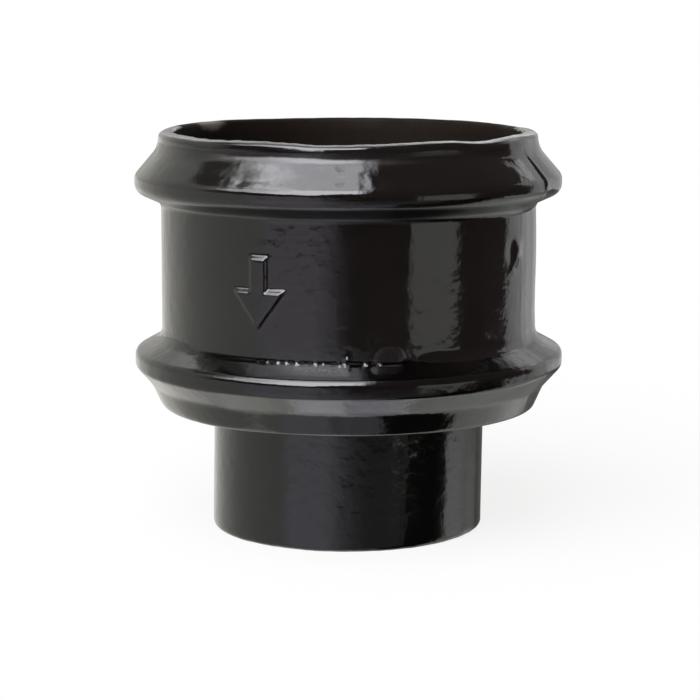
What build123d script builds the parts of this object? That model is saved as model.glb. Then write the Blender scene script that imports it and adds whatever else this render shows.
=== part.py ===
from build123d import *
import math
import os

# Downpipe socket: one hollow iron casting, a socket on top of a short spigot.
# Millimetres. +Z is up, along the flow axis; the origin is the centre of the spigot's end face.

os.makedirs("parts", exist_ok=True)

# ---- driving dimensions ----
SPIGOT_OD = 73.0          # outside of the spigot, which enters the pipe below
WATERWAY = 65.0           # clear bore through the spigot
SPIGOT_LENGTH = 33.2      # spigot end to the flat underside of the shoulder
SOCKET_BORE = 93.2        # inside of the socket, which takes the pipe above
HEIGHT = 107.0            # spigot end to the rim
STOP_HEIGHT = 37.2        # spigot end to the ledge that stops the pipe above
SHOULDER_OD = 100.3       # sharp corner of the shoulder, before rounding
BARREL_OD_LOW = 100.7     # barrel above the lower bead; it tapers a little towards the top
BARREL_OD_HIGH = 100.4
LOWER_BEAD_OD = 115.2
UPPER_BEAD_OD = 114.3
RIM_OD = 101.3

SEAM_HEIGHT = 0.25        # parting line left by the two halves of the mould
SEAM_WIDTH_DEG = 1.7
SEAM_AZIMUTHS = (63.5, -116.5)   # degrees from the front (-Y) towards +X

MARK_AZIMUTH = -26.7      # flow arrow, raised on the barrel
MARK_RELIEF = 1.0
MARK_TOP = 78.0
MARK_BOTTOM = 60.0
MARK_SHAFT = 4.4
MARK_HEAD = 14.0
MARK_HEAD_HEIGHT = 9.5

GATE_AZIMUTH = 11.4       # dressed stub where the metal was poured in
GATE_Z = 52.3
GATE_RADIUS = 4.2
GATE_HEIGHT = 0.7

# ---- section through the wall: radius, height and rounding of each corner ----
section_corners = [
    (WATERWAY / 2, 0.0, 0.8),
    (SPIGOT_OD / 2, 0.0, 1.1),
    (SPIGOT_OD / 2, SPIGOT_LENGTH, 1.6),            # root of the spigot
    (SHOULDER_OD / 2, SPIGOT_LENGTH, 1.2),          # edge of the shoulder
    (52.85, 39.25, 5.0),                            # neck into the lower bead
    (LOWER_BEAD_OD / 2, 44.5, 1.9),
    (LOWER_BEAD_OD / 2, 48.25, 2.0),
    (BARREL_OD_LOW / 2, 52.2, 4.0),                 # lower bead into the barrel
    (BARREL_OD_HIGH / 2, 88.1, 2.6),                # barrel into the upper bead
    (UPPER_BEAD_OD / 2, 91.2, 3.1),
    (UPPER_BEAD_OD / 2, 95.35, 2.5),
    (50.8, 102.8, 7.0),                             # upper bead into the rim
    (RIM_OD / 2, HEIGHT, 1.5),
    (SOCKET_BORE / 2, HEIGHT, 1.0),
    (SOCKET_BORE / 2, STOP_HEIGHT, 2.5),            # foot of the socket
    (WATERWAY / 2, STOP_HEIGHT, 3.0),               # ledge into the waterway
]

with BuildSketch(Plane.XZ) as section:
    with BuildLine():
        FilletPolyline(
            *[(r, z) for r, z, _ in section_corners],
            radius=[fillet_radius for _, _, fillet_radius in section_corners],
            close=True,
        )
    make_face()
casting = revolve(section.sketch, axis=Axis.Z, revolution_arc=360)


def outward(azimuth_deg):
    """Unit vector pointing out of the barrel, measured from the front towards +X."""
    a = math.radians(azimuth_deg)
    return Vector(math.sin(a), -math.cos(a), 0)


# ---- parting line: a low ridge down both sides, dressed away on the rim and the spigot ----
with BuildSketch(Plane.XZ) as ridge:
    add(section.sketch)
    offset(amount=SEAM_HEIGHT, kind=Kind.ARC)
    with BuildSketch(Plane.XZ, mode=Mode.INTERSECT):
        with Locations((55.0, (35.2 + 105.2) / 2)):
            Rectangle(14.0, 70.0)
for azimuth in SEAM_AZIMUTHS:
    strip = revolve(ridge.sketch, axis=Axis.Z, revolution_arc=SEAM_WIDTH_DEG)
    strip = strip.rotate(Axis.Z, azimuth - 90.0 - SEAM_WIDTH_DEG / 2)
    casting = casting + strip

# ---- flow arrow, pointing down, raised on the barrel ----
middle = (MARK_TOP + MARK_BOTTOM) / 2
out = outward(MARK_AZIMUTH)
face_plane = Plane(
    origin=out * (BARREL_OD_LOW / 2 - 2.5) + Vector(0, 0, middle),
    x_dir=Vector(-out.Y, out.X, 0),
    z_dir=out,
)
half = (MARK_TOP - MARK_BOTTOM) / 2
neck = -half + MARK_HEAD_HEIGHT
with BuildSketch(face_plane) as arrow_outline:
    with BuildLine():
        Polyline(
            (-MARK_SHAFT / 2, half),
            (MARK_SHAFT / 2, half),
            (MARK_SHAFT / 2, neck),
            (MARK_HEAD / 2, neck),
            (0, -half),
            (-MARK_HEAD / 2, neck),
            (-MARK_SHAFT / 2, neck),
            close=True,
        )
    make_face()
arrow = extrude(arrow_outline.sketch, amount=6.0)
arrow_cap = Pos(0, 0, middle) * Cylinder(BARREL_OD_LOW / 2 + MARK_RELIEF, MARK_TOP - MARK_BOTTOM + 4)
casting = casting + (arrow & arrow_cap)

# ---- gate stub: a shallow dome just above the lower bead ----
dome_radius = (GATE_RADIUS ** 2 + GATE_HEIGHT ** 2) / (2 * GATE_HEIGHT)
out = outward(GATE_AZIMUTH)
stub_plane = Plane(origin=out * (BARREL_OD_LOW / 2 - 2.0) + Vector(0, 0, GATE_Z), z_dir=out)
stub = extrude(stub_plane * Circle(GATE_RADIUS), amount=5.0)
dome = Pos(*(out * (BARREL_OD_LOW / 2 + GATE_HEIGHT - dome_radius) + Vector(0, 0, GATE_Z))) * Sphere(dome_radius)
casting = casting + (stub & dome)

casting.label = "socket_casting"
export_step(casting, "parts/socket_casting.step")
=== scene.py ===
import math

import bpy
import numpy as np
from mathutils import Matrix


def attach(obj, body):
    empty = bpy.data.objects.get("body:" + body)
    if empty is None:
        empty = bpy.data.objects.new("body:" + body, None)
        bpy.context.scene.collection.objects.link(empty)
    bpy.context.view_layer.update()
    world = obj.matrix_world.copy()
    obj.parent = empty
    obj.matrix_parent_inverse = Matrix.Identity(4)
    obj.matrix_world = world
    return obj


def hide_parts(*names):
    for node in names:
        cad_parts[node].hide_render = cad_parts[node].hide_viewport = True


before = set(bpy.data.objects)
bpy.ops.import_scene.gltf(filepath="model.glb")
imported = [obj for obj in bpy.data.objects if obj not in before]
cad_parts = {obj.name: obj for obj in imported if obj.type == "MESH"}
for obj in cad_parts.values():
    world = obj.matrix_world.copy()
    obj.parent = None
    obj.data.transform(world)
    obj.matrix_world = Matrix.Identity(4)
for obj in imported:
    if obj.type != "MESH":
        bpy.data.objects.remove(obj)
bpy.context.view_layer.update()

# ---------------------------------------------------------------------------
# The casting. Lengths in this part are millimetres, turned into metres when the mesh is made.
# Azimuths are degrees from the front (-Y) towards +X.
# ---------------------------------------------------------------------------

# Corners of the turned section as in the CAD part: radius, height, fillet radius.
# Towards the front the rim meets the upper bead in a tighter curve (FRONT).
SECTION = [
    (32.5, 0.0, 0.8), (36.5, 0.0, 1.1), (36.5, 33.2, 1.6), (50.15, 33.2, 1.2),
    (52.85, 39.25, 5.0), (57.6, 44.5, 1.9), (57.6, 48.25, 2.0), (50.35, 52.2, 4.0),
    (50.2, 88.1, 2.6), (57.15, 91.2, 3.1), (57.15, 95.35, 2.5), (50.8, 102.8, 7.0),
    (50.65, 107.0, 1.5), (46.6, 107.0, 1.0), (46.6, 37.2, 2.5), (32.5, 37.2, 3.0),
]
FRONT = list(SECTION)
FRONT[5] = (57.6, 44.1, 1.3)
FRONT[6] = (57.6, 48.25, 2.0)
FRONT[8] = (50.2, 88.1, 1.7)
FRONT[11] = (50.7, 102.8, 3.0)
FRONT[12] = (50.65, 106.9, 0.85)
FRONT[13] = (46.6, 107.0, 0.7)
# Row spacing on each corner's fillet, and on the straight that follows it.
FILLET_STEP = [0.45, 0.4, 0.5, 0.35, 0.45, 0.4, 0.4, 0.36, 0.36, 0.42, 0.38, 0.4, 0.36, 0.35, 0.9, 1.1]
STRAIGHT_STEP = [0.8, 1.1, 1.5, 0.7, 0.6, 0.4, 0.55, 0.8, 0.6, 0.4, 0.55, 0.5, 0.7, 3.2, 2.6, 4.0]

SEAMS = (63.5, -116.5)
ARROW_AZ, ARROW_TIP, ARROW_NECK, ARROW_TOP = -26.7, 60.0, 69.5, 78.0
ARROW_SHAFT, ARROW_HEAD, ARROW_RELIEF = 4.4, 14.0, 1.0
GATE_AZ, GATE_Z, GATE_RADIUS, GATE_HEIGHT = 11.4, 52.3, 4.2, 0.7
# Azimuth, height, and reach to the left and right of each grain at the barrel's foot.
GRAINS = [(-27.0, 0.5, 1.2, 0.6), (-23.9, 0.85, 1.0, 0.5), (-20.6, 1.0, 0.9, 0.5), (-18.1, 1.0, 0.7, 0.5),
          (-14.9, 1.2, 0.8, 0.5), (-12.4, 0.6, 0.5, 0.4), (-9.4, 1.15, 0.9, 0.5), (-7.3, 0.9, 0.6, 0.5),
          (-5.9, 0.8, 0.5, 0.4), (-2.7, 1.3, 0.6, 0.4), (-1.1, 1.35, 0.8, 0.5), (4.9, 1.1, 0.9, 0.4), (8.9, 1.2, 1.0, 0.4)]


def smooth(x, lo, hi):
    t = np.clip((x - lo) / (hi - lo), 0.0, 1.0)
    return t * t * (3.0 - 2.0 * t)


def bell(x, centre, width):
    return np.exp(-((x - centre) / width) ** 2)


def turn(az, centre):
    """Difference of azimuths in degrees, -180 to 180."""
    return (az - centre + 180.0) % 360.0 - 180.0


class Noise:
    """Seeded gradient noise in three dimensions, about -0.7 to 0.7."""

    def __init__(self, seed):
        rng = np.random.RandomState(seed)
        p = rng.permutation(256)
        self.perm = np.concatenate([p, p, p])
        g = rng.normal(size=(256, 3))
        self.grad = g / np.linalg.norm(g, axis=1)[:, None]

    def __call__(self, p):
        i = np.floor(p).astype(int)
        f = p - i
        u = f * f * f * (f * (f * 6 - 15) + 10)
        i &= 255
        out = np.zeros(p.shape[:-1])
        for dx in (0, 1):
            for dy in (0, 1):
                for dz in (0, 1):
                    h = self.perm[self.perm[self.perm[i[..., 0] + dx] + i[..., 1] + dy] + i[..., 2] + dz]
                    d = f - np.array([dx, dy, dz])
                    w = (np.where(dx, u[..., 0], 1 - u[..., 0]) * np.where(dy, u[..., 1], 1 - u[..., 1])
                         * np.where(dz, u[..., 2], 1 - u[..., 2]))
                    out += w * (self.grad[h] * d).sum(-1)
        return out


def dense_section(corners, counts=None):
    """Close points along the section, the row spacing wanted at each, and how many each stretch has."""
    n = len(corners)
    tangents = []
    for i in range(n):
        p = np.array(corners[i][:2])
        a = np.array(corners[i - 1][:2])
        b = np.array(corners[(i + 1) % n][:2])
        u = (a - p) / np.linalg.norm(a - p)
        v = (b - p) / np.linalg.norm(b - p)
        bend = math.pi - math.acos(float(np.clip(u @ v, -1, 1)))
        radius = corners[i][2]
        length = radius * math.tan(bend / 2)
        centre = p + (u + v) / np.linalg.norm(u + v) * radius / math.cos(bend / 2)
        tangents.append((p + u * length, p + v * length, centre, radius))
    points, steps, made = [], [], []
    for i in range(n):
        start, end, centre, radius = tangents[i]
        a0 = math.atan2(*(start - centre)[::-1])
        a1 = math.atan2(*(end - centre)[::-1])
        sweep = (a1 - a0 + math.pi) % (2 * math.pi) - math.pi
        count = counts[2 * i] if counts else max(4, int(abs(sweep) * radius / 0.04))
        made.append(count)
        for t in np.arange(count) / count:
            points.append(centre + radius * np.array([math.cos(a0 + sweep * t), math.sin(a0 + sweep * t)]))
            steps.append(FILLET_STEP[i])
        nxt = tangents[(i + 1) % n][0]
        count = counts[2 * i + 1] if counts else max(2, int(np.linalg.norm(nxt - end) / 0.04))
        made.append(count)
        for t in np.arange(count) / count:
            q = end + (nxt - end) * t
            step = STRAIGHT_STEP[i]
            if i == 7:
                step = 0.47 if 58.8 < q[1] < 79.2 else 0.85
            points.append(q)
            steps.append(step)
    return np.array(points), np.array(steps), made


def section_rows():
    """Rows of the section and of its front variant: (radius, height) and the outward normal of each."""
    points, steps, counts = dense_section(SECTION)
    front = dense_section(FRONT, counts)[0]
    for _ in range(12):
        steps = (np.roll(steps, 1) + steps * 2 + np.roll(steps, -1)) / 4
    gap = np.linalg.norm(np.roll(points, -1, 0) - points, axis=1)
    arc = np.concatenate([[0.0], np.cumsum(gap)])
    need = np.concatenate([[0.0], np.cumsum(gap / steps)])
    rows = int(round(need[-1]))
    at = np.interp(np.arange(rows) / rows * need[-1], need, arc)
    out = []
    for path in (points, front):
        closed = np.vstack([path, path[:1]])
        out.append(np.stack([np.interp(at, arc, closed[:, k]) for k in (0, 1)], 1))
        along = np.stack([np.interp((at + 0.06) % arc[-1], arc, closed[:, k])
                          - np.interp((at - 0.06) % arc[-1], arc, closed[:, k]) for k in (0, 1)], 1)
        along /= np.linalg.norm(along, axis=1)[:, None]
        out.append(np.stack([along[:, 1], -along[:, 0]], 1))
    return out


def tight_foot(rz):
    """The same rows where the barrel meets the lower bead in a sharp corner, as it does at the front."""
    out = rz.copy()
    part = [k for k in range(len(rz)) if rz[k, 0] > 50.0 and 48.9 < rz[k, 1] < 56.5]
    first, last = part[0], part[-1]
    a, b = rz[first], rz[last]
    middle = part[int(np.argmin(np.hypot(rz[part, 0] - 50.85, rz[part, 1] - 52.45)))]
    corner, brow = np.array([49.85, 51.65]), np.array([50.27, 52.35])
    for k in part:
        if k <= middle:
            t = (k - first) / (middle - first)
            out[k] = a + (corner - a) * t
        elif k <= middle + 2:
            out[k] = corner + (brow - corner) * (k - middle) / 2
        else:
            out[k] = brow + (b - brow) * (k - middle - 2) / (last - middle - 2)
    return out, middle


def columns():
    """Azimuths of the columns: close together at the arrow, the gate stub and the seam, wide at the back."""
    az = np.arange(-180.0, 180.0, 0.02)
    step = np.where(np.abs(az) < 100, 1.05, 1.75)
    step = np.where((az > -38) & (az < 18), 0.52, step)
    step = np.where(np.abs(az - ARROW_AZ) < 9.2, 0.40, step)
    step = np.where(np.abs(az - SEAMS[0]) < 3, 0.6, step)
    for _ in range(60):
        step = (np.roll(step, 1) + step * 2 + np.roll(step, -1)) / 4
    need = np.concatenate([[0.0], np.cumsum(0.02 / step)])
    count = int(round(need[-1]))
    return np.interp(np.arange(count) / count * need[-1], need, np.append(az, 180.0))


def arrow_distance(x, y):
    """Signed distance to the flow arrow's outline, negative inside."""
    s, h = ARROW_SHAFT / 2, ARROW_HEAD / 2
    outline = [(0, ARROW_TIP), (h, ARROW_NECK), (s, ARROW_NECK), (s, ARROW_TOP),
               (-s, ARROW_TOP), (-s, ARROW_NECK), (-h, ARROW_NECK)]
    best = np.full(x.shape, 1e9)
    inside = np.zeros(x.shape, bool)
    for i in range(len(outline)):
        ax, ay = outline[i]
        bx, by = outline[(i + 1) % len(outline)]
        ex, ey = bx - ax, by - ay
        t = np.clip(((x - ax) * ex + (y - ay) * ey) / (ex * ex + ey * ey), 0, 1)
        best = np.minimum(best, np.hypot(x - ax - t * ex, y - ay - t * ey))
        with np.errstate(divide="ignore", invalid="ignore"):
            crosses = ((ay > y) != (by > y)) & (x < (bx - ax) * (y - ay) / (by - ay) + ax)
        inside ^= crosses
    return np.where(inside, -best, best)


def casting():
    rz, normal, front, front_normal = section_rows()
    az = columns()
    tight, foot_row = tight_foot(rz)
    along = np.roll(tight, -1, 0) - np.roll(tight, 1, 0)
    along /= np.linalg.norm(along, axis=1)[:, None]
    tight_normal = np.stack([along[:, 1], -along[:, 0]], 1)
    tight_normal = np.where((np.abs(tight - rz).sum(1) > 1e-6)[:, None], tight_normal, normal)
    A = np.repeat(az[None, :], len(rz), 0)
    w = smooth(A, -64, -38) * (1 - smooth(A, 14, 26))
    v = smooth(A, -86, -60) * (1 - smooth(A, 42, 62))
    curve = (smooth(rz[:, 1], 94.0, 97.0) * (1 - smooth(rz[:, 1], 103.6, 104.8)) * (rz[:, 0] > 50.0))[:, None]
    v = v * (1 - curve * (1 - smooth(A, -56, -30)))
    R, Z = (rz[:, k, None] * (1 - w) + tight[:, k, None] * w + (front - rz)[:, k, None] * v for k in (0, 1))
    NR, NZ = (normal[:, k, None] * (1 - w) + tight_normal[:, k, None] * w
              + (front_normal - normal)[:, k, None] * v for k in (0, 1))
    rad = np.radians(A)
    point = np.stack([R * np.sin(rad), -R * np.cos(rad), Z], -1)

    r1, z1 = rz[:, 0], rz[:, 1]
    inside1 = ((r1 < 46.9) & (z1 > 36.9) & (z1 < 106.2)) | ((r1 < 33.4) & (z1 > 0.9) & (z1 <= 37.3))
    inside = np.repeat(inside1[:, None], len(az), 1)
    outer = 1.0 - inside
    spigot = (Z < 33.0) & ~inside
    above = smooth(Z, 33.0, 36.0) * outer

    # The cast skin under the paint: slow waves, then smaller ones.
    slow, middle, small, ragged = Noise(11), Noise(12), Noise(13), Noise(14)
    d = 0.10 * slow(point / 30.0) + 0.045 * middle(point / 13.0) + 0.020 * small(point / 5.2)
    d = d * np.where(inside, 1.6, 1.0)
    d += 0.012 * ragged(point / 2.9) * outer

    # The right side of the barrel swells and dips.
    side = bell(turn(A, 92), 0, 30) * smooth(Z, 53, 60) * (1 - smooth(Z, 83, 89)) * outer
    d += 0.13 * np.cos((Z - 77.0) * 2 * math.pi / 37.0) * side

    # Parting line of the two mould halves, dressed off on the spigot and the rim.
    for s in SEAMS:
        wander = 0.45 * middle(np.stack([Z * 0 + s, Z * 0, Z / 9.0], -1))
        line = bell(turn(A, s + wander), 0, 0.95) * smooth(Z, 34.5, 37) * (1 - smooth(Z, 98, 103)) * outer
        d += (0.055 + 0.12 * smooth(Z, 89, 94)) * line * (1.0 + 0.9 * small(point / 2.6))
        # The two halves don't quite meet on the upper bead.
        jag = 0.9 * ragged(np.stack([Z * 0 + s, Z * 0 + 0.5, Z / 2.3], -1))
        ledge = smooth(turn(A, s - 0.4 + jag), -0.8, 0.25) * (1 - smooth(turn(A, s), 3, 17))
        d += 0.22 * ledge * smooth(Z, 92.0, 95.0) * (1 - smooth(Z, 101.5, 105.0)) * outer

    # The upper bead and the foot of the barrel are rough near it, on the right.
    d += 0.075 * small(point / 3.2 + 2.0) * smooth(A, 36, 54) * (1 - smooth(A, 80, 96)) \
        * smooth(Z, 89.5, 92) * (1 - smooth(Z, 104, 106)) * outer
    d += 0.040 * small(point / 2.4 + 11.0) * bell(turn(A, 57), 0, 9) * smooth(Z, 51.5, 54) * (1 - smooth(Z, 60, 67)) * outer

    d *= 1 - 0.9 * w * bell(np.arange(len(rz))[:, None] - foot_row, 0.8, 1.3)

    # The neck is a little fuller on the left.
    d += 0.28 * bell(turn(A, -95), 0, 38) * smooth(Z, 33.5, 35) * (1 - smooth(Z, 38.5, 42)) * outer

    # A grain on the barrel just above its foot.
    d += 0.44 * np.exp(-((np.radians(turn(A, -0.4)) * 51.0 / 0.6) ** 2 + ((Z - 53.2) / 0.6) ** 2)) * outer
    sand_and_sheen = smooth(A, -40, -28) * (1 - smooth(A, 0, 4)) * bell(Z, 50.2, 1.5) * (R > 50.2) * outer
    d += sand_and_sheen * (0.05 * ragged(point / 1.9 + 5.0) + 0.04 * small(point / 2.8))

    # Small dents, a wrinkle and a mottled skin on the slope of the upper bead, at the front.
    slope = smooth(Z, 94.5, 96.5) * (1 - smooth(Z, 101.5, 103.5)) * smooth(A, -48, -34) * (1 - smooth(A, 8, 16)) * outer
    d += (0.052 * small(point / 2.9 + 6.0) + 0.022 * ragged(point / 1.5)) * slope
    for a, z, size, height in ((-10.6, 96.6, 0.7, -0.08), (-7.6, 101.9, 0.8, -0.08), (-29.0, 97.3, 1.5, -0.16), (6.4, 98.0, 1.3, 0.05)):
        d += height * np.exp(-((np.radians(turn(A, a)) * 54.0 / size) ** 2 + ((Z - z) / size) ** 2)) * outer
    d += 0.07 * bell(Z, 99.8, 0.55) * smooth(A, -4.6, -3.2) * (1 - smooth(A, 2.6, 4.0)) * outer
    # A shallow hollow above its crest.
    d -= 0.12 * bell(Z, 98.3, 1.5) * smooth(A, -62, -30) * (1 - smooth(A, 10, 34)) * (R > 50.2) * outer

    # A lump of sand burnt on at the right.
    for a, z, wa, wz, height in ((56.4, 77.6, 1.8, 2.6, -0.20), (60.4, 77.8, 2.1, 2.2, 0.52), (60.0, 75.4, 1.3, 1.3, 0.20),
                                 (58.6, 74.4, 1.1, 1.3, 0.22), (57.2, 72.7, 1.0, 1.2, 0.17)):
        d += height * np.exp(-((np.radians(turn(A, a)) * 50.3 / wa) ** 2 + ((Z - z) / wz) ** 2)) * outer

    # Raised flow arrow.
    near = (np.abs(turn(A, ARROW_AZ)) < 11.5) & (Z > 57.5) & (Z < 80.5) & ~inside
    x = np.radians(turn(A, ARROW_AZ)) * 50.3
    dist = arrow_distance(x[near], Z[near])
    dist = dist + 0.16 * small(point[near] / 2.4 + 3.0)
    d[near] += ARROW_RELIEF * (1 - smooth(dist, -0.42, 0.46)) * (1.0 + 0.10 * middle(point[near] / 4.0))

    # The inner edge of the rim is rough where the sand core broke away.
    edge = bell(Z, 106.6, 0.9) * bell(R, 46.9, 1.2)
    d += edge * (0.22 * small(point / 3.1 + 9.0) + 0.16 * ragged(point / 1.7))
    # So is the cut edge of the spigot.
    foot = bell(Z, 0.3, 0.9) * ~inside
    d += foot * (0.10 * small(point / 4.1) + 0.06 * ragged(point / 1.9))

    flat = ((Z < 0.02) | ((np.abs(Z - 33.2) < 0.02) & (R > 38.2))) & True
    d = np.where(flat, np.minimum(d, 0.0) * 0.2, d)

    r = R + d * NR
    z = Z + d * NZ

    # Small grains of sand lie in the corner at the foot of the barrel.
    u = np.radians(A) * 50.4
    grain_glint = np.zeros(r.shape, bool)
    for a, top, left, right in GRAINS:
        along = u - math.radians(a) * 50.4
        reach = smooth(along, -left, -0.25 * left) * (1 - smooth(along, 0.25 * right, right))
        face = 50.25 + (50.95 + top * reach - z) * 0.85
        raised = (reach > 0.02) & (Z > 50.3) & (Z < 53.4) & (R > 49.7) & (face > r)
        r = np.where(raised, face, r)
        # The fronts of the taller grains take a pale colour: painted highlights.
        grain_glint |= raised & (reach > 0.25) & (Z < 51.0 + top * 0.75) & (top > 0.7)
    # So does the grain on the barrel above its foot.
    grain_glint |= (np.hypot(u + math.radians(0.4) * 50.4, Z - 53.3) < 0.42) & (R > 50.0)

    # Gate stub, ground off by hand: a low, soft, round pad.
    u = np.radians(turn(A, GATE_AZ)) * 50.4
    rho = np.hypot(u, z - GATE_Z) / GATE_RADIUS + 0.10 * small(point / 2.6 + 7.0)
    face = 50.25 + 0.62 * GATE_HEIGHT + 0.10 * (u - z + GATE_Z) / GATE_RADIUS + 0.10 * slow(point / 5.0)
    pad = (1 - smooth(rho, 0.62, 1.10)) * (np.abs(z - GATE_Z) < 6) * (R > 50.0)
    r = r + np.maximum(face - r, 0.0) * pad
    # The rim is not quite level, and the spigot stands a hair to the left.
    lift = 0.30 * bell(turn(A, -128), 0, 20) + 0.20 * bell(turn(A, 180), 0, 50) - 0.70 * bell(turn(A, 45), 0, 10) \
        - 0.35 * bell(turn(A, -48), 0, 14) - 0.35 * bell(turn(A, 112), 0, 12) \
        - 0.66 * bell(turn(A, -6), 0, 12) - 0.35 * bell(turn(A, 12), 0, 10) \
        + 0.06 * slow(point / 24.0) + 0.13 * middle(point / 6.0 + 4.0)
    # Its top falls off a little outwards.
    lift = lift - 0.24 * smooth(r, 46.9, 50.3) * smooth(z, 104.5, 106.5) * (1 - smooth(np.abs(A), 88, 112))
    z = z + lift * smooth(z, 98.0, 106.5)
    z = np.maximum(z, 0.0)
    x3 = r * np.sin(rad) - 0.42 * (1 - smooth(Z, 0.0, 33.0)) - 0.13 * smooth(Z, 84.0, 96.0)
    y3 = -r * np.cos(rad)

    rows, cols = r.shape
    verts = np.stack([x3, y3, z], -1).reshape(-1, 3) / 1000.0
    j, i = np.meshgrid(np.arange(rows), np.arange(cols), indexing="ij")
    j2, i2 = (j + 1) % rows, (i + 1) % cols
    quads = np.stack([j * cols + i, j * cols + i2, j2 * cols + i2, j2 * cols + i], -1).reshape(-1, 4)

    # The bore and the waterway have a dull coat of their own.
    dull = ((R < 46.95) & (Z > 36.9) & (Z + 0.5 * small(point / 2.7) < 106.55)) | ((R < 33.2) & (Z > 0.6) & (Z < 37.3))
    dull |= (R < 49.4 + 0.8 * small(point / 3.0)) & (Z > 100.0) & (np.abs(A) > 104.0)
    face_dull = (dull & np.roll(dull, -1, 0) & np.roll(dull, -1, 1)).ravel()

    mesh = bpy.data.meshes.new("socket_body")
    mesh.vertices.add(len(verts))
    mesh.vertices.foreach_set("co", verts.ravel())
    mesh.loops.add(quads.size)
    mesh.loops.foreach_set("vertex_index", quads.ravel().astype(np.int32))
    mesh.polygons.add(len(quads))
    mesh.polygons.foreach_set("loop_start", (np.arange(len(quads)) * 4).astype(np.int32))
    mesh.update(calc_edges=True)
    mesh.validate()
    mesh.polygons.foreach_set("use_smooth", np.ones(len(mesh.polygons), bool))
    # Faces with the painted grain highlights take the third material.
    face_grain_glint = (grain_glint & (np.roll(grain_glint, -1, 0) | np.roll(grain_glint, -1, 1))).ravel()
    mesh.polygons.foreach_set("material_index", np.where(face_grain_glint, 2, face_dull).astype(np.int32))
    print("bare faces", int(face_grain_glint.sum()))
    crease = {j * cols + k for k in range(cols) if w[foot_row, k] > 0.3 for j in (foot_row,)}
    ends = np.empty(len(mesh.edges) * 2, np.int32)
    mesh.edges.foreach_get("vertices", ends)
    on = np.zeros(len(verts), bool)
    on[list(crease)] = True
    on = on[ends].reshape(-1, 2).all(1)
    sharp = mesh.attributes.new("sharp_edge", "BOOLEAN", "EDGE")
    sharp.data.foreach_set("value", on)
    mesh.update()
    print("casting: %d rows x %d columns, %d triangles" % (rows, cols, 2 * len(quads)))
    obj = bpy.data.objects.new("socket_body", mesh)
    bpy.context.scene.collection.objects.link(obj)
    return obj


# ---------------------------------------------------------------------------
# Materials
# ---------------------------------------------------------------------------

class Nodes:
    """Small helper that adds nodes to a tree and links their inputs."""

    def __init__(self, tree):
        self.tree = tree

    def add(self, kind, inputs=None, **settings):
        n = self.tree.nodes.new(kind)
        for k, v in settings.items():
            setattr(n, k, v)
        for k, v in (inputs or {}).items():
            if isinstance(v, bpy.types.NodeSocket):
                self.tree.links.new(v, n.inputs[k])
            else:
                n.inputs[k].default_value = v
        return n

    def math(self, op, a, b=0.0, c=0.0):
        return self.add("ShaderNodeMath", {0: a, 1: b, 2: c}, operation=op).outputs[0]

    def step(self, x, lo, hi, to_lo=0.0, to_hi=1.0):
        n = self.add("ShaderNodeMapRange", {"Value": x, "From Min": lo, "From Max": hi, "To Min": to_lo, "To Max": to_hi},
                     interpolation_type="SMOOTHSTEP")
        return n.outputs["Result"]

    def noise(self, where, size_mm, detail=2.0, roughness=0.5, distortion=0.0):
        n = self.add("ShaderNodeTexNoise", {"Vector": where, "Scale": 1000.0 / size_mm, "Detail": detail,
                                            "Roughness": roughness, "Distortion": distortion}, noise_dimensions="3D")
        return n.outputs["Fac"]

    def mix(self, fac, a, b):
        n = self.add("ShaderNodeMix", data_type="RGBA")
        for name, v in (("Factor", fac), ("A", a), ("B", b)):
            sock = [s for s in n.inputs if s.name == name and s.type == ("VALUE" if name == "Factor" else "RGBA")][0]
            if isinstance(v, bpy.types.NodeSocket):
                self.tree.links.new(v, sock)
            else:
                sock.default_value = v
        return [s for s in n.outputs if s.type == "RGBA"][0]


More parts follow.
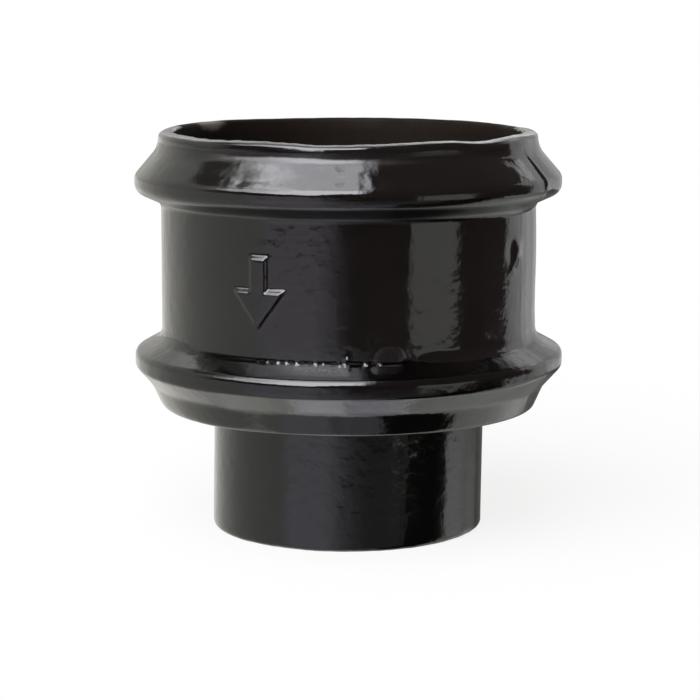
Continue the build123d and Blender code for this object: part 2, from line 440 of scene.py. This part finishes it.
def paint_material():
    """Gloss black paint over cast skin."""
    mat = bpy.data.materials.new("painted_iron")
    mat.use_nodes = True
    nt = mat.node_tree
    nt.nodes.clear()
    n = Nodes(nt)
    where = n.add("ShaderNodeTexCoord").outputs["Object"]
    cloud = n.noise(where, 17.0, 3.0)
    swell = n.noise(where, 4.2, 2.0, 0.45)
    grain = n.noise(where, 1.5, 1.0, 0.5)
    fine = n.noise(where, 0.6, 1.0)

    # A little warmer and browner where the paint is thin.
    colour = n.mix(n.step(cloud, 0.35, 0.68), (0.0013, 0.0010, 0.0010, 1), (0.0022, 0.0016, 0.0015, 1))
    height = n.add("ShaderNodeSeparateXYZ", {0: where}).outputs[2]
    # Painted shade: the colour is darker on the lower bead and the spigot below about 47 mm, blending back to the paint
    # above by 60 mm.
    colour = n.mix(n.step(height, 0.047, 0.060), (0.0004, 0.0003, 0.0003, 1), colour)
    # Greyer paint on the lower bead where the barrel meets it, left of the front: a painted sheen, standing in for the
    # grey reflection on that slope.
    x, y, _ = n.add("ShaderNodeSeparateXYZ", {0: where}).outputs
    sand_and_sheen = n.math("MULTIPLY", n.step(x, -0.0240, -0.0090), n.step(x, -0.0004, 0.0006, 1.0, 0.0))
    sand_and_sheen = n.math("MULTIPLY", sand_and_sheen, n.step(y, -0.040, -0.035, 1.0, 0.0))
    sand_and_sheen = n.math("MULTIPLY", sand_and_sheen, n.math("MULTIPLY", n.step(height, 0.0492, 0.0498), n.step(height, 0.05152, 0.05164, 1.0, 0.0)))
    sand_and_sheen = n.math("MULTIPLY", sand_and_sheen, n.step(height, 0.0498, 0.0512, 0.6, 1.3))
    sand_and_sheen = n.math("MULTIPLY", sand_and_sheen, n.step(n.noise(where, 0.9, 2.0, 0.6), 0.3, 0.7, 0.55, 1.25))
    colour = n.mix(sand_and_sheen, colour, (0.033, 0.0320, 0.0345, 1))
    rough = n.step(n.math("MULTIPLY_ADD", fine, 0.4, cloud), 0.4, 1.0, 0.065, 0.125)

    # The ground-off gate stub took the paint less smoothly.
    a = math.radians(GATE_AZ)
    stub = n.add("ShaderNodeVectorMath", {0: where, 1: (0.0508 * math.sin(a), -0.0508 * math.cos(a), GATE_Z / 1000.0)},
                 operation="DISTANCE").outputs["Value"]
    rough = n.math("MAXIMUM", rough, n.step(stub, 0.0036, 0.0050, 0.27, 0.0))

    # So did the hollow under the rim, at the front.
    band = n.math("MULTIPLY", n.step(height, 0.1006, 0.1022), n.step(height, 0.1042, 0.1050, 1.0, 0.0))
    front = n.step(y, -0.040, -0.030, 1.0, 0.0)
    rough = n.math("MAXIMUM", rough, n.math("MULTIPLY", n.math("MULTIPLY", band, front), 0.24))

    # And the underside of the upper bead.
    under = n.math("MULTIPLY", n.step(height, 0.0868, 0.0880), n.step(height, 0.0912, 0.0924, 1.0, 0.0))
    rough = n.math("MAXIMUM", rough, n.math("MULTIPLY", under, 0.30))

    b1 = n.add("ShaderNodeBump", {"Strength": 1.0, "Distance": 0.000110, "Height": swell})
    b2 = n.add("ShaderNodeBump", {"Strength": 1.0, "Distance": 0.000022, "Height": grain, "Normal": b1.outputs[0]})
    bsdf = n.add("ShaderNodeBsdfPrincipled", {"Base Color": colour, "Roughness": rough, "Normal": b2.outputs[0]})
    bsdf.inputs["IOR"].default_value = 1.5
    out = n.add("ShaderNodeOutputMaterial")
    nt.links.new(bsdf.outputs[0], out.inputs["Surface"])
    return mat


def grain_glint_material():
    """Pale colour on the sand grains: a painted highlight, standing in for their glints."""
    mat = bpy.data.materials.new("painted_iron_grain_glint")
    mat.use_nodes = True
    bsdf = mat.node_tree.nodes["Principled BSDF"]
    bsdf.inputs["Base Color"].default_value = (0.130, 0.126, 0.128, 1)
    bsdf.inputs["Roughness"].default_value = 0.38
    return mat


def lining_material():
    """The dull brown-black coat inside."""
    mat = bpy.data.materials.new("painted_iron_bore")
    mat.use_nodes = True
    nt = mat.node_tree
    nt.nodes.clear()
    n = Nodes(nt)
    where = n.add("ShaderNodeTexCoord").outputs["Object"]
    cloud = n.noise(where, 14.0, 4.0, 0.6)
    tooth = n.noise(where, 1.1, 3.0, 0.6)
    colour = n.mix(n.step(cloud, 0.35, 0.65), (0.0053, 0.0034, 0.0022, 1), (0.0045, 0.0032, 0.0021, 1))
    # A pale patch under the rim at the back left: a painted reflection.
    a = math.radians(-124.5)
    tall = n.add("ShaderNodeVectorMath", {0: where, 1: (1.0, 1.0, 2.6)}, operation="MULTIPLY").outputs[0]
    reflection_spot = n.add("ShaderNodeVectorMath", {0: tall, 1: (0.0466 * math.sin(a), -0.0466 * math.cos(a), 0.1072 * 2.6)},
                  operation="DISTANCE").outputs["Value"]
    reflection_spot = n.math("MULTIPLY_ADD", n.noise(where, 4.5, 3.0, 0.6), 0.006, reflection_spot)
    colour = n.mix(n.step(reflection_spot, 0.0050, 0.0105), (0.095, 0.090, 0.080, 1), colour)
    rough = n.step(cloud, 0.3, 0.7, 0.55, 0.75)
    b1 = n.add("ShaderNodeBump", {"Strength": 1.0, "Distance": 0.00012, "Height": tooth})
    bsdf = n.add("ShaderNodeBsdfPrincipled", {"Base Color": colour, "Roughness": rough, "Normal": b1.outputs[0]})
    bsdf.inputs["IOR"].default_value = 1.5
    bsdf.inputs["Specular IOR Level"].default_value = 0.06
    out = n.add("ShaderNodeOutputMaterial")
    nt.links.new(bsdf.outputs[0], out.inputs["Surface"])
    return mat


# ---------------------------------------------------------------------------
# Studio: soft light cards around the part, given by azimuth and elevation
# ---------------------------------------------------------------------------

GREEN, VIOLET, WHITE = (0.97, 1.0, 0.93), (0.99, 0.955, 1.08), (1.0, 1.0, 1.0)
WARM, COOL, RUST = (1.0, 0.93, 0.86), (0.985, 0.985, 1.04), (1.25, 0.92, 0.90)
# level, tint, azimuth from / to and its two soft edges, elevation from / to and its two soft edges,
# and how far the azimuth edges lean for each degree of elevation
CARDS = [
    (0.035, WARM, None, None),
    (0.115, RUST, (-100, 133, 10, 8), (4, 120, 4, 1)),
    (0.08, RUST, (0, 112, 8, 8), (-10.8, 6, 0.6, 4)),
    (0.78, GREEN, (-168, -80, 12, 12), (0, 38, 6, 4)),
    (0.86, GREEN, (-138, -80, 12, 12), (38, 100, 4, 1)),
    (0.28, GREEN, (-179, -138, 1, 12), (38, 60, 4, 3)),
    (-0.72, GREEN, (-131, -104, 6, 4), (40.5, 52.5, 2.5, 2)),
    (0.84, GREEN, (-172, -54, 12, 7), (-100, 0, 1, 3)),
    (0.80, GREEN, (-138, -72, 12, 8), (-70, -51, 6, 4)),
    (0.97, VIOLET, (-54, -9, 7, 14), (-100, -4, 1, 1.4)),
    (0.20, VIOLET, (-54, 10, 7, 10), (-30, -10.8, 4, 0.5)),
    (0.22, WHITE, (-10, 46, 8, 3), (-30, -10.8, 4, 0.5)),
    (0.62, VIOLET, (-6, 30, 6, 5), (-100, -34, 1, 8)),
    (0.94, GREEN, (37.3, 64.5, 1.5, 1.5), (-10.4, -1.0, 0.7, 2.5), (0.0, 3.0)),
    (0.20, WHITE, (47, 51, 1.0, 1.0), (-30, -10.4, 6, 0.7)),
    (1.00, WHITE, (108, 146, 2.0, 6), (-10.4, 31, 0.7, 2.5), (2.5, 0.0)),
    (0.95, WHITE, (132, 146, 1.2, 4), (27, 38, 2, 2)),
    (1.35, WHITE, (91.3, 118, 2.4, 28), (-19, -10.4, 2.5, 0.7)),
    (0.22, WHITE, (124, 142, 6, 4), (-34, -11.5, 5, 1.2)),
    (0.60, WHITE, (146, 172, 6, 12), (-10.4, 33, 0.7, 6)),
    (1.35, GREEN, (84, 140, 5, 18), (-74, -20, 2, 8)),
    (1.50, VIOLET, None, (-120, -72, 1, 4)),
    (0.75, WHITE, (147, 168, 3, 6), (26, 38, 5, 3)),
    (0.40, WHITE, (200, 212, 4, 4), (32, 40, 2.5, 3)),
    (0.45, WHITE, (168, 192, 4, 4), (2, 18, 4, 5)),
    (1.90, VIOLET, (181, 210, 3, 2.5), (45, 90, 3, 1)),
    (0.25, WHITE, (160, 181, 6, 3), (44, 72, 4, 3)),
    (0.38, GREEN, (138, 186, 12, 8), (-80, -24, 8, 6)),
    (0.14, GREEN, (138, 222, 12, 12), (-26, -8, 4, 3)),
    (0.10, RUST, (-172, -118, 6, 10), (-100, 20, 4, 6)),
    (0.32, WHITE, (165, 197, 3, 3), (11, 34, 3, 3)),
    (0.32, WHITE, (165, 181, 3, 3), (8, 19, 3, 2)),
    (2.60, COOL, (-105, -88, 3, 6), (53, 66, 2, 4)),
    (0.28, WARM, (190, 222, 6, 8), (-80, -24, 8, 6)),
]
BOX_LEVEL, BOX_TINT = 8.0, COOL
FLOOR_COLOUR, FLOOR_GLOW = (0.06, 0.06, 0.0595, 1), 0.85
BACKDROP = (0.98, 0.98, 0.975, 1)


def studio():
    world = bpy.data.worlds.new("studio")
    bpy.context.scene.world = world
    world.use_nodes = True
    world.cycles.sampling_method = "NONE"
    nt = world.node_tree
    nt.nodes.clear()
    n = Nodes(nt)
    ray = n.add("ShaderNodeTexCoord").outputs["Generated"]
    xyz = n.add("ShaderNodeSeparateXYZ", {0: ray})
    x, y, z = xyz.outputs
    az = n.math("MULTIPLY", n.math("ARCTAN2", x, n.math("MULTIPLY", y, -1.0)), 180 / math.pi)
    around = n.math("ADD", az, n.math("MULTIPLY", n.math("LESS_THAN", az, 0.0), 360.0))
    el = n.math("MULTIPLY", n.math("ARCSINE", z), 180 / math.pi)

    def window(v, edges, lean=(0.0, 0.0)):
        lo, hi, slo, shi = edges
        a, b = (n.math("MULTIPLY_ADD", n.math("ADD", n.math("MINIMUM", el, -7.4), 9.2), -k, v) if k else v for k in lean)
        up = n.step(a, lo - slo, lo + slo)
        down = n.step(b, hi - shi, hi + shi, 1.0, 0.0)
        return n.math("MULTIPLY", up, down)

    total = None
    for level, tint, a, e, *lean in CARDS:
        weight = None
        if a is not None:
            weight = window(around if a[1] > 180 else az, a, *lean)
        if e is not None:
            w = window(el, e)
            weight = w if weight is None else n.math("MULTIPLY", weight, w)
        card = n.add("ShaderNodeVectorMath", {0: tuple(level * t for t in tint)}, operation="SCALE")
        if weight is None:
            card.inputs["Scale"].default_value = 1.0
        else:
            nt.links.new(weight, card.inputs["Scale"])
        total = card.outputs[0] if total is None else n.add(
            "ShaderNodeVectorMath", {0: total, 1: card.outputs[0]}, operation="ADD").outputs[0]
    # The soft box: its right side is straight, its left side leans back as it rises.
    lean = n.math("MULTIPLY_ADD", n.add("ShaderNodeMapRange", {"Value": el, "From Min": 20.0, "From Max": 60.0,
                                                              "To Min": 0.0, "To Max": 20.0}).outputs["Result"], 1.0, az)
    box = n.math("MULTIPLY", n.step(lean, -90, -60), n.step(x, 0.055, 0.175, 1.0, 0.0))
    low = n.add("ShaderNodeMapRange", {"Value": az, "From Min": -70.0, "From Max": -22.0,
                                       "To Min": 15.0, "To Max": 0.0}).outputs["Result"]
    # Its lower right corner is cut off.
    low = n.math("ADD", low, n.step(az, -20, -5, 0.0, 17.0))
    box = n.math("MULTIPLY", box, window(n.math("SUBTRACT", el, low), (8.5, 84, 3, 6)))
    box = n.math("MULTIPLY", box, n.step(y, 0.12, 0.02))
    box = n.math("MULTIPLY", box, n.step(el, 56, 73, 1.45, 0.76))
    dim = n.math("ADD", n.step(az, -64, -32, 0.45, 0.0), n.step(az, -92, -72, 0.50, 0.0))
    dim = n.math("MULTIPLY", dim, n.step(el, 56, 66, 1.0, 0.0))
    box = n.math("MULTIPLY", box, n.math("SUBTRACT", 1.0, dim))
    card = n.add("ShaderNodeVectorMath", {0: tuple(BOX_LEVEL * t for t in BOX_TINT), "Scale": box}, operation="SCALE")
    total = n.add("ShaderNodeVectorMath", {0: total, 1: card.outputs[0]}, operation="ADD").outputs[0]
    light = n.add("ShaderNodeBackground", {"Color": total})
    backdrop = n.add("ShaderNodeBackground", {"Color": BACKDROP})
    seen = n.add("ShaderNodeLightPath").outputs["Is Camera Ray"]
    mix = n.add("ShaderNodeMixShader", {0: seen, 1: light.outputs[0], 2: backdrop.outputs[0]})
    out = n.add("ShaderNodeOutputWorld")
    nt.links.new(mix.outputs[0], out.inputs["Surface"])

    mesh = bpy.data.meshes.new("studio_floor")
    s = 60.0
    mesh.from_pydata([(-s, -s, 0), (s, -s, 0), (s, s, 0), (-s, s, 0)], [], [(0, 1, 2, 3)])
    floor = bpy.data.objects.new("studio_floor", mesh)
    bpy.context.scene.collection.objects.link(floor)
    floor.visible_glossy = False
    mat = bpy.data.materials.new("studio_floor")
    mat.use_nodes = True
    bsdf = mat.node_tree.nodes["Principled BSDF"]
    bsdf.inputs["Base Color"].default_value = FLOOR_COLOUR
    bsdf.inputs["Roughness"].default_value = 0.9
    bsdf.inputs["Specular IOR Level"].default_value = 0.0
    bsdf.inputs["Emission Color"].default_value = (1.0, 1.0, 0.995, 1)
    bsdf.inputs["Emission Strength"].default_value = FLOOR_GLOW
    mat.cycles.emission_sampling = "NONE"
    mesh.materials.append(mat)


def camera():
    data = bpy.data.cameras.new("camera")
    data.lens = 120.3
    data.sensor_width = 36.0
    data.clip_start = 0.01
    data.clip_end = 200.0
    cam = bpy.data.objects.new("camera", data)
    cam.location = (0.000353, -0.62688, 0.14884)
    cam.rotation_euler = (math.radians(80.8), 0.0, 0.0)
    bpy.context.scene.collection.objects.link(cam)
    bpy.context.scene.camera = cam


camera()
studio()
body = casting()
body.data.materials.append(paint_material())
body.data.materials.append(lining_material())
# The third material is the pale painted highlight on the grains.
body.data.materials.append(grain_glint_material())
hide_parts("socket_casting")
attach(body, "root")

scene = bpy.context.scene
scene.view_settings.view_transform = "Standard"
scene.view_settings.look = "None"
scene.cycles.use_denoising = True
scene.cycles.max_bounces = 6

bpy.context.view_layer.update()
